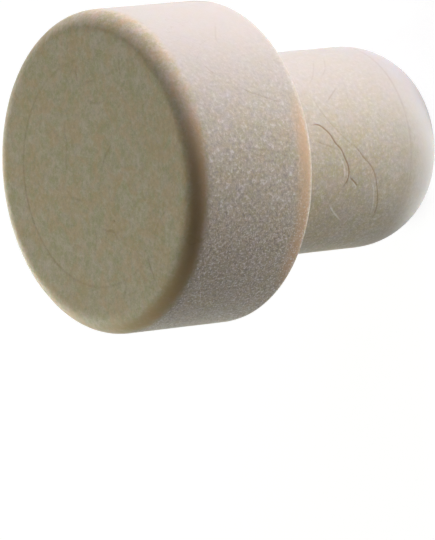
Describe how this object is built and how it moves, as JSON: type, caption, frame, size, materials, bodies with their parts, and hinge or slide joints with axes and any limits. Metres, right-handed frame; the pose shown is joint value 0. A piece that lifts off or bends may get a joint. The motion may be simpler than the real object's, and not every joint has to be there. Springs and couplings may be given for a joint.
{
  "type": "t-shaped bottle stopper",
  "caption": "One-piece moulded bottle stopper: a wide round head with a flat face and rounded edges on a narrower solid plug with a rounded nose.",
  "frame": {"origin": "centre of the plug's flat end, on the surface that the stopper stands on", "axes": "+Z along the stopper's axis, up from the plug's end to the head's face; X and Y are free, because it is a body of revolution"},
  "size_m": [0.03, 0.03, 0.0352],
  "materials": {
    "stopper": "fine matte moulded skin, pale sand with faint flow lines"
  },
  "bodies": {
    "root": {"stopper": "stopper"}
  },
  "joints": []
}
